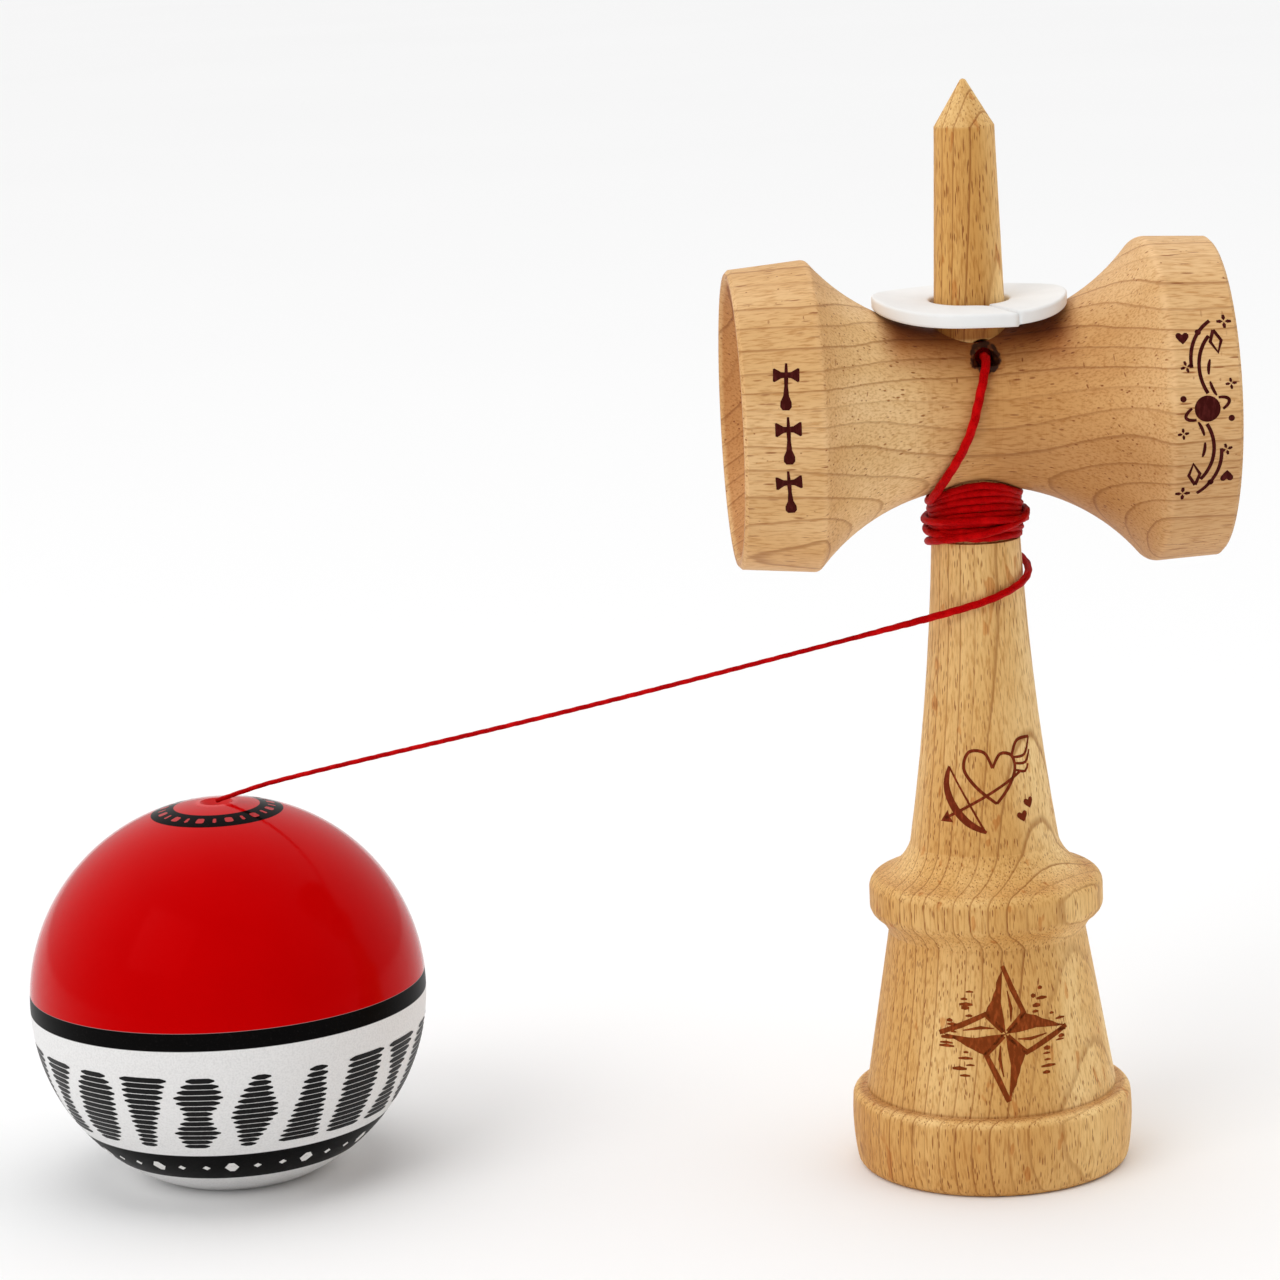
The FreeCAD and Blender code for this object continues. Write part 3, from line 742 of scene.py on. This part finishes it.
# Heights above the ball's flat mouth and radii round its bore, in millimetres.
BAND = (27.1, 29.8)
LOWER_BAND = (4.2, 9.3)
TOP_RING = (6.5, 10.0)
PAINT_EDGE = 0.06
TOP_HOLE_RADIUS, BORE_RADIUS, BORE_TOP = 3.6, 8.65, 49
RED_ROUGHNESS, WHITE_ROUGHNESS = 0.12, 0.36
RED_GLEAM, WHITE_GLEAM = 0.09, 0.15


def painted_bands(shader, height, away):
    """(where the ball is red, where it is black)."""
    upper = shader.rise(height, BAND[1] - PAINT_EDGE, BAND[1] + PAINT_EDGE)
    band = shader.between(height, *BAND, PAINT_EDGE)
    lower_band = shader.between(height, *LOWER_BAND, PAINT_EDGE)
    top_ring = shader.times(shader.between(away, *TOP_RING, PAINT_EDGE), upper)
    return upper, shader.math("MAXIMUM", shader.math("MAXIMUM", band, lower_band), top_ring)


def lacquer_material():
    """Glossy red over satin white, with two black bands, a black ring on top and bare wood in the bore."""
    shader = Shader("ball_lacquer")
    point = shader.vector("SUBTRACT", shader.millimetres(), (BALL_CENTRE.x / MM, BALL_CENTRE.y / MM, 0))
    height = shader.dot(point, UP)
    away = shader.vector("LENGTH", shader.stretch(point, (1, 1, 0)), output="Value")
    upper, blacks = painted_bands(shader, height, away)
    clouds = shader.noise(point, scale=0.12, detail=2)
    specks = shader.noise(point, scale=3.5, detail=3)

    red = shader.screen_mix(clouds, (188, 0, 2), (196, 1, 3))
    frayed = shader.math("ADD", away, shader.times(specks, 1.6))
    frayed = shader.times(shader.rise(frayed, TOP_HOLE_RADIUS + 0.8, TOP_HOLE_RADIUS), 0.6)
    red = shader.mix(frayed, red, screen_colour(228, 70, 70))
    black = shader.screen_mix(shader.rise(specks, 0.55, 0.8), (6, 5, 5), (26, 23, 23))
    white = shader.screen_mix(shader.rise(specks, 0.35, 0.75), (234, 233, 232), (222, 221, 220))
    colour = shader.mix(blacks, shader.mix(upper, white, red), black)

    bore = shader.rise(away, BORE_RADIUS + 0.1, BORE_RADIUS)
    bore = shader.times(bore, shader.rise(height, BORE_TOP + 1, BORE_TOP))
    fibre = shader.noise(shader.stretch(point, (1.2, 1.2, 0.1)), detail=3)
    bare = shader.screen_mix(fibre, (222, 184, 134), (190, 146, 96))
    colour = shader.mix(bore, colour, bare)
    satin = shader.math("SUBTRACT", WHITE_ROUGHNESS, shader.times(upper, WHITE_ROUGHNESS - RED_ROUGHNESS))
    roughness = shader.math("ADD", satin, shader.times(bore, 0.3))
    gleam = shader.add("ShaderNodeMapRange", upper, 0, 1, WHITE_GLEAM, RED_GLEAM)
    gleam = shader.times(gleam, shader.math("SUBTRACT", 1, shader.times(blacks, 0.8)))
    tint = shader.mix(upper, (1, 1, 1, 1), RED_GLOSS)
    normal = shader.bump(specks, 0.015 * MM, 0.25)
    return shader.finish(colour, roughness, normal, Specular_IOR_Level=gleam, Specular_Tint=tint)


def on_ball(longitude, latitude):
    """A point just above the ball's surface. Longitude 0 is the front, and it grows to the right."""
    radius = BALL_RADIUS + MARK_LIFT_MM * MM
    level = radius * cos(latitude)
    return BALL_CENTRE + Vector((level * sin(longitude), -level * cos(longitude), radius * sin(latitude)))


class Print:
    """Thin printed patches on the ball, gathered into one piece."""

    def __init__(self):
        self.vertices, self.faces = [], []

    def bar(self, west, east, south, north, taper):
        """A patch between two longitudes and two latitudes, with its ends drawn in by taper."""
        steps = max(2, ceil((east - west) / radians(2)))
        base = len(self.vertices)
        for step in range(steps + 1):
            longitude = west + (east - west) * step / steps
            squeeze = taper * (north - south) / 2 if step in (0, steps) else 0
            self.vertices.append(on_ball(longitude, south + squeeze))
            self.vertices.append(on_ball(longitude, north - squeeze))
        for step in range(steps):
            corner = base + 2 * step
            self.faces.append((corner, corner + 2, corner + 3, corner + 1))

    def finish(self, name, colour, roughness):
        piece = new_mesh(name, self.vertices, self.faces)
        shader = Shader(name)
        specks = shader.noise(shader.coordinates(), scale=1800, detail=2)
        tint = shader.mix(shader.rise(specks, 0.5, 0.8), colour, lightened(colour, 0.8))
        paint(piece, shader.finish(tint, roughness, Specular_IOR_Level=0.15))
        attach(piece, "ball")


# The print: latitudes in degrees, widths in millimetres on the ball.
PRINT_TOP, PRINT_FOOT = -8.4, -33.4
PRINT_ROWS, PRINT_COUNT = 14, 21
PRINT_HALF_WIDTH, PRINT_SLANT, PRINT_ROUGH_END = 3.45, 2.2, 0.3
PRINT_ROW_FOOT, PRINT_ROW_TOP = 0.06, 0.93
PRINT_BLACK = screen_colour(5, 4, 4)
# Half widths and half heights of the marks, in degrees.
BAND_MARKS, DIAMOND, DOT, BAND_WHITE = 36, (2.8, 2.3), (1.6, 1.2), screen_colour(235, 233, 230)
RING_MARKS, LONG_DASH, SHORT_DASH, RING_RED = 24, (4.2, 1.3), (1.8, 1.3), screen_colour(176, 20, 26)


def peak(part):
    """0 at both ends and 1 in the middle."""
    return 1 - abs(2 * part - 1)


# How wide each shape is at a height from 0 at its foot to 1 at its top.
PRINT_SHAPES = [
    lambda part: 0.3 + 0.7 * peak(part),
    lambda part: 1 - 0.65 * part,
    lambda part: 0.95,
    lambda part: 1 - 0.6 * peak(part),
    lambda part: min(1, 0.55 + 1.1 * peak(part)),
    lambda part: 0.35 + 0.65 * part,
    lambda part: 0.5 + 0.5 * peak(2 * part % 1),
]


def add_sliced_shapes():
    """A row of plain slanted shapes round the white half, sliced into lines with ragged ends."""
    dice = random.Random(7)
    shapes = Print()
    low, high = radians(PRINT_FOOT), radians(PRINT_TOP)
    pitch = (high - low) / PRINT_ROWS
    row_radius = BALL_RADIUS * cos((low + high) / 2) / MM
    for index in range(PRINT_COUNT):
        middle = 2 * pi * (index + 0.5) / PRINT_COUNT
        for row in range(PRINT_ROWS):
            part = (row + 0.5) / PRINT_ROWS
            half = PRINT_HALF_WIDTH * PRINT_SHAPES[index % len(PRINT_SHAPES)](part)
            slant = (part - 0.5) * PRINT_SLANT
            west = slant - half - dice.uniform(0, PRINT_ROUGH_END)
            east = slant + half + dice.uniform(0, PRINT_ROUGH_END)
            south = low + row * pitch
            shapes.bar(middle + west / row_radius, middle + east / row_radius,
                       south + PRINT_ROW_FOOT * pitch, south + PRINT_ROW_TOP * pitch, taper=0.7)
    shapes.finish("ball_print", PRINT_BLACK, 0.4)


def add_marks(name, count, latitude, sizes, taper, colour, roughness):
    """Marks all round the ball at one latitude. Their sizes, half widths and half heights, take turns."""
    marks = Print()
    for index in range(count):
        middle = 2 * pi * index / count
        across, up = (radians(half) for half in sizes[index % len(sizes)])
        marks.bar(middle - across, middle + across, latitude - up, latitude + up, taper)
    marks.finish(name, colour, roughness)


def add_ball_print():
    """The sliced shapes, marks on the lower band and dashes on the top ring."""
    add_sliced_shapes()
    band_middle = asin((sum(LOWER_BAND) / 2 * MM - BALL_CENTRE.z) / BALL_RADIUS)
    add_marks("ball_band_marks", BAND_MARKS, band_middle, (DIAMOND, DOT, DOT), 1.0, BAND_WHITE, 0.45)
    top_middle = acos(sum(TOP_RING) / 2 * MM / BALL_RADIUS)
    add_marks("ball_ring_marks", RING_MARKS, top_middle, (SHORT_DASH, LONG_DASH), 0.3, RING_RED, 0.3)


def bead_material():
    """Smooth red plastic with a faint swirl."""
    shader = Shader("red_bead")
    point = shader.millimetres()
    swirl = shader.noise(point, scale=0.5, detail=2)
    colour = shader.screen_mix(swirl, (150, 12, 16), (196, 26, 26))
    return shader.finish(colour, 0.25, shader.bump(swirl, 0.05 * MM, 0.2))


paint(nodes["tama"], lacquer_material())
paint(nodes["bead"], bead_material())
add_ball_print()


# ---- burnt marks on the wood

# In millimetres: how far from a piece's axis the rays start that lay a drawing on it, the steps along a
# smooth line, and the longest edge that isn't halved to follow the wood.
RAY_START = 60
BEND_STEP = 0.5
EDGE_LIMIT, EDGE_HALVINGS = 0.9, 4


def disc(across, up, radius, steps=20):
    angles = [2 * pi * step / steps for step in range(steps)]
    return [(across + radius * cos(angle), up + radius * sin(angle)) for angle in angles]


def moved(outline, across, up, turn=0.0, size=1.0):
    """The same outline turned, scaled and shifted."""
    level, steep = cos(turn) * size, sin(turn) * size
    return [(across + x * level - y * steep, up + x * steep + y * level) for x, y in outline]


def stroke(path, width, tip=1.0):
    """The outline of a pen stroke along a path. Its ends narrow to tip times the width."""
    left, right = [], []
    for index, (x, y) in enumerate(path):
        before, after = path[max(index - 1, 0)], path[min(index + 1, len(path) - 1)]
        length = hypot(after[0] - before[0], after[1] - before[1])
        nx, ny = (before[1] - after[1]) / length, (after[0] - before[0]) / length
        part = abs(2 * index / (len(path) - 1) - 1)
        half = width / 2 * (1 - (1 - tip) * part**3)
        left.append((x + nx * half, y + ny * half))
        right.append((x - nx * half, y - ny * half))
    return left + right[::-1]


def arc(across, up, radius, start, end, steps=16, flatten=1.0):
    """Points along an arc, its angles in degrees."""
    points = []
    for step in range(steps + 1):
        angle = radians(start + (end - start) * step / steps)
        points.append((across + radius * cos(angle), up + flatten * radius * sin(angle)))
    return points


def spline_part(p, q, r, s, part):
    """A place between q and r on a Catmull-Rom spline through p, q, r and s."""
    square, cube = 2 * p - 5 * q + 4 * r - s, 3 * q - p - 3 * r + s
    return 0.5 * (2 * q + (r - p) * part + square * part**2 + cube * part**3)


def bend(path):
    """A smooth line through given points."""
    points = []
    ends = [path[0]] + path + [path[-1]]
    for a, b, c, d in zip(ends, ends[1:], ends[2:], ends[3:]):
        count = max(2, round(dist(b, c) / BEND_STEP))
        for step in range(count):
            points.append(tuple(spline_part(*places, step / count) for places in zip(a, b, c, d)))
    return points + [path[-1]]


def fine_mesh(outlines):
    """A flat mesh of the outlines, cut up until it can follow the wood."""
    made = bmesh.new()
    for outline in outlines:
        made.faces.new([made.verts.new((x, y, 0)) for x, y in outline])
    bmesh.ops.triangulate(made, faces=made.faces[:])
    for _ in range(EDGE_HALVINGS):
        wide = [edge for edge in made.edges if edge.calc_length() > EDGE_LIMIT]
        if not wide:
            break
        bmesh.ops.subdivide_edges(made, edges=wide, cuts=1)
        bmesh.ops.triangulate(made, faces=[face for face in made.faces if len(face.verts) > 3])
    return made


def burnt_material(name, colour):
    """Charred wood, lighter in patches."""
    shader = Shader(name)
    char = shader.noise(shader.stretch(shader.millimetres(), (2.2, 2.2, 0.7)), detail=4)
    tint = shader.mix(shader.rise(char, 0.45, 0.72), colour, lightened(colour, 1.7))
    return shader.finish(tint, 0.8, shader.bump(char, 0.05 * MM, 0.4), Specular_IOR_Level=0.1)


def burn(name, outlines, wrap, node, colour):
    """Lays outlines, in millimetres, on a wooden node. wrap(across, up) gives a ray that meets it there."""
    made = fine_mesh(outlines)
    wood = nodes[node].data
    surface = BVHTree.FromPolygons([v.co for v in wood.vertices], [tuple(p.vertices) for p in wood.polygons])
    for vertex in made.verts:
        start, towards = wrap(vertex.co.x, vertex.co.y)
        hit, normal, _, _ = surface.ray_cast(start, towards)
        vertex.co = hit + normal * MARK_LIFT_MM * MM
    mesh = bpy.data.meshes.new(name)
    made.to_mesh(mesh)
    made.free()
    mesh.polygons.foreach_set("use_smooth", [True] * len(mesh.polygons))
    mark = new_object(name, mesh)
    paint(mark, burnt_material(name, colour))
    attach(mark, "handle")


def round_ken(middle_height, radius):
    """Wraps a drawing round the front of the handle, its middle at a height in millimetres."""
    def wrap(across, up):
        angle = across / radius
        away = Vector((sin(angle), -cos(angle), 0))
        return away * RAY_START * MM + UP * (middle_height + up) * MM, -away
    return wrap


def round_sarado(middle, radius, turn):
    """Wraps a drawing round the cross-piece, its middle at a place along X and turned up from the front."""
    def wrap(across, up):
        angle = turn + up / radius
        away = Vector((0, -cos(angle), sin(angle)))
        centre = Vector(((middle + across) * MM, 0, SARADO_AXIS_HEIGHT))
        return centre + away * RAY_START * MM, -away
    return wrap


DARK_BURN = screen_colour(60, 8, 4)
BROWN_BURN = screen_colour(108, 38, 12)
EMBLEM_BURN = screen_colour(120, 52, 12)
# Where each drawing's middle is and how far the wood there is from its axis, in millimetres.
SMALL_CUP_MIDDLE, SMALL_CUP_RADIUS = -28.9, 22.3
BIG_CUP_MIDDLE, BIG_CUP_RADIUS, BIG_CUP_TURN = 29.9, 23.5, radians(3.4)
SHAFT_MARK_HEIGHT, SHAFT_RADIUS = 58.8, 9.6
EMBLEM_HEIGHT, CONE_RADIUS = 23.8, 16.4


TOY_HALF = [
    (0.16, 3.4), (0.24, 2.05), (0.7, 2.1), (1.6, 2.65), (1.85, 2.6), (1.85, 0.75), (1.6, 0.65), (0.7, 1.2),
    (0.3, 1.25), (0.26, 0.1), (0.4, -1.3), (0.78, -2.2), (0.8, -2.9), (0.45, -3.35),
]


def burn_small_cup():
    """Three little pictures of the toy, one above another and each leaning another way."""
    outline = TOY_HALF + [(-across, up) for across, up in reversed(TOY_HALF)]
    for number, (turn, lean) in enumerate(((19.1, -4), (-0.7, 0), (-20.6, 4)), 1):
        wrap = round_sarado(SMALL_CUP_MIDDLE, SMALL_CUP_RADIUS, radians(turn))
        burn(f"toy_mark_{number}", [moved(outline, 0, 0, radians(lean))], wrap, "sarado", DARK_BURN)


def heart(across, up, size, turn=0.0):
    """A small solid heart."""
    right = [(0, -1.0), (0.55, -0.45), (0.95, 0.1), (0.98, 0.5), (0.72, 0.82), (0.35, 0.82), (0, 0.5)]
    outline = right + [(-x, y) for x, y in reversed(right[1:-1])]
    return moved(outline, across, up, turn, size)


def sparkle(across, up, size, turn=0.0):
    """Four little petals round a point."""
    petal = [(0.12, 0), (0.5, 0.26), (1.0, 0.17), (1.0, -0.17), (0.5, -0.26)]
    return [moved(petal, across, up, turn + quarter * pi / 2, size) for quarter in range(4)]


def burn_big_cup():
    """A planet with its ring between curved trails, sparkles, hearts and dots.

    The lower half is the upper one turned about the planet.
    """
    diamond = [(0, 1.7), (0.8, 0), (0, -1.7), (-0.8, 0), (0, 1.7)]
    half = [
        stroke(arc(5.4, 6.6, 7.4, 124, 186), 0.52),
        stroke(arc(6.0, 5.8, 6.9, 138, 212), 0.52),
        stroke(arc(6.1, 5.0, 5.7, 160, 182, 6), 0.46, 0.5),
        stroke(arc(6.1, 5.0, 5.7, 192, 214, 6), 0.46, 0.5),
        stroke(moved(diamond, 1.8, 9.6, 0.12), 0.5),
        disc(-0.6, 11.0, 0.45),
        heart(-2.9, 10.2, 0.95),
        disc(-3.4, 1.5, 0.45),
    ]
    half += sparkle(3.3, 12.6, 1.05)
    half += sparkle(-2.7, 6.0, 0.85, 0.3)
    half += sparkle(3.5, 3.4, 0.8, 0.1)
    tilt = radians(20)
    outlines = [disc(0, 0, 1.85, 32)]
    for start in (-52, 128):
        outlines.append(stroke(moved(arc(0, 0, 3.3, start, start + 104, 20, 0.34), 0, 0, tilt), 0.48, 0.7))
    outlines += half
    outlines += [moved(outline, 0, 0, pi) for outline in half]
    wrap = round_sarado(BIG_CUP_MIDDLE, BIG_CUP_RADIUS, BIG_CUP_TURN)
    burn("star_marks", outlines, wrap, "sarado", DARK_BURN)


def burn_shaft():
    """A heart with a wing, and a bow with its arrow, drawn in lines of uneven width."""
    heart_line = bend([(0, 0.6), (-1.2, 2.9), (-3.6, 3.0), (-4.4, 0.6), (-2.6, -2.0), (0.4, -4.6)])
    right_line = bend([(0, 0.6), (1.3, 2.6), (3.2, 2.2), (3.6, 0.2), (2.4, -2.2), (0.4, -4.6)])
    outlines = [stroke(moved(line, 0.2, 2.4), 0.5, 0.8) for line in (heart_line, right_line)]
    feathers = (
        ((3.6, 4.3), (7.2, 6.9), -1.1),
        ((3.8, 3.4), (7.0, 5.0), -0.9),
        ((3.9, 2.4), (6.4, 3.0), -0.7),
    )
    for start, tip, sag in feathers:
        middle = ((start[0] + tip[0]) / 2 + 0.5, (start[1] + tip[1]) / 2 + sag)
        outlines.append(stroke(bend([start, middle, tip]), 0.42, 0.7))
    outlines.append(stroke(bend([(3.4, 4.6), (4.6, 6.7), (7.2, 6.9)]), 0.5, 0.8))
    bow = bend([(-6.6, 3.2), (-7.0, 0.6), (-5.9, -2.2), (-3.6, -4.8), (-1.0, -6.3)])
    outlines.append(stroke(bow, 1.15, 0.35))
    outlines.append(stroke(bend([(-6.5, 3.0), (-3.7, -1.5), (-1.2, -6.1)]), 0.3))
    outlines.append(stroke([(-6.9, -4.4), (-3.0, -2.2), (0.9, 0.0), (4.8, 2.2)], 0.42))
    outlines.append([(-7.6, -4.9), (-6.6, -3.2), (-6.2, -4.1), (-5.6, -4.9)])
    for across, up in ((4.3, -4.4), (5.6, -2.6)):
        outlines.append(heart(across, up, 0.85, 0.2))
    burn("heart_mark", outlines, round_ken(SHAFT_MARK_HEIGHT, SHAFT_RADIUS), "ken", BROWN_BURN)


def burn_cone():
    """A compass star: each arm is half solid and half an outline, with ragged dashes beside it."""
    dice = random.Random(11)
    reach, waist, notches, dashes = 9.8, 2.9, 8, 16
    outlines = []
    for quarter in range(4):
        turn = quarter * pi / 2
        solid = [(0, 0), (waist, waist)]
        for step in range(notches):
            part = step / notches
            out = waist + (reach - waist) * part + 0.2
            solid.append((out, waist * (1 - part) + dice.uniform(-0.3, 0.1)))
        solid += [(reach, 0), (4.6, 0.5), (2.0, 0.12)]
        outlines.append(moved(solid, 0, 0, turn))
        rim = [(0.3, -0.3), (waist, -waist), ((reach + waist) / 2, -waist / 2 + 0.1), (reach, 0)]
        outlines.append(stroke(moved(rim, 0, 0, turn), 0.85, 0.8))
        outlines.append(stroke(moved([(1.7, -0.85), (3.6, -1.0), (6.2, -0.55)], 0, 0, turn), 0.5, 0.3))
    for side in (-1, 1):
        for index in range(dashes):
            up = -6.0 + 0.8 * index + dice.uniform(-0.2, 0.2)
            start = side * (4.2 + dice.uniform(0, 1.4) + 2.6 * (abs(up) < 2.4))
            length = side * dice.uniform(0.7, 2.3)
            outlines.append(stroke([(start, up), (start + length / 2, up + 0.06), (start + length, up)],
                                   dice.uniform(0.3, 0.75), 0.5))
    burn("star_emblem", outlines, round_ken(EMBLEM_HEIGHT, CONE_RADIUS), "ken", EMBLEM_BURN)


burn_small_cup()
burn_big_cup()
burn_shaft()
burn_cone()


# ---- stage

FLOOR_HALF = 12.0
HORIZON_GLOW, ZENITH_GLOW = 0.55, 1.36
ROOM_DARKNESS = 0.7
KEY_PLACE, KEY_TARGET = Vector((-1.0, -0.9, 1.1)), Vector((-0.04, 0, 0.08))
KEY_SIZE, KEY_WATTS = 1.0, 6.5


def add_floor():
    corners = [(x * FLOOR_HALF, y * FLOOR_HALF, 0) for x, y in ((-1, -1), (1, -1), (1, 1), (-1, 1))]
    floor = new_mesh("floor", corners, [(0, 1, 2, 3)], smooth=False)
    shader = Shader("pale_floor")
    shade = shader.noise(shader.coordinates(), scale=2.0)
    colour = shader.mix(shade, (0.92, 0.92, 0.92, 1), (0.94, 0.94, 0.94, 1))
    paint(floor, shader.finish(colour, 0.9, Specular_IOR_Level=0.0))


def add_world():
    """A white studio, brighter overhead, with the darker room showing behind the camera."""
    world = bpy.data.worlds.new("studio")
    sky = NodeTree(world)
    background = sky.nodes["Background"]
    towards = sky.coordinates("Generated")
    height, front = sky.dot(towards, UP), sky.dot(towards, (0, -1, 0))
    glow = sky.add("ShaderNodeMapRange", height, 0, 1, HORIZON_GLOW, ZENITH_GLOW)
    ahead = sky.math("MAXIMUM", front, 0.01)
    across = sky.math("DIVIDE", sky.dot(towards, (1, 0, 0)), ahead)
    up = sky.math("DIVIDE", height, ahead)
    room = sky.times(sky.between(across, -0.45, 1.1, 0.08), sky.between(up, 0.12, 1.7, 0.08))
    room = sky.times(room, sky.rise(front, 0.02, 0.1))
    glow = sky.times(glow, sky.math("SUBTRACT", 1, sky.times(room, ROOM_DARKNESS)))
    sky.feed(background.inputs["Color"], (1, 1, 1, 1))
    sky.feed(background.inputs["Strength"], glow)
    bpy.context.scene.world = world


def add_key_light():
    """A big soft light above at the left, towards the object's middle."""
    light = bpy.data.lights.new("key", "AREA")
    light.shape = "RECTANGLE"
    light.size = light.size_y = KEY_SIZE
    light.energy = KEY_WATTS
    lamp = new_object("key", light)
    lamp.location = KEY_PLACE
    lamp.rotation_euler = (KEY_TARGET - KEY_PLACE).to_track_quat("-Z", "Y").to_euler()


add_floor()
add_world()
add_key_light()
bpy.context.scene.view_settings.view_transform = "Standard"
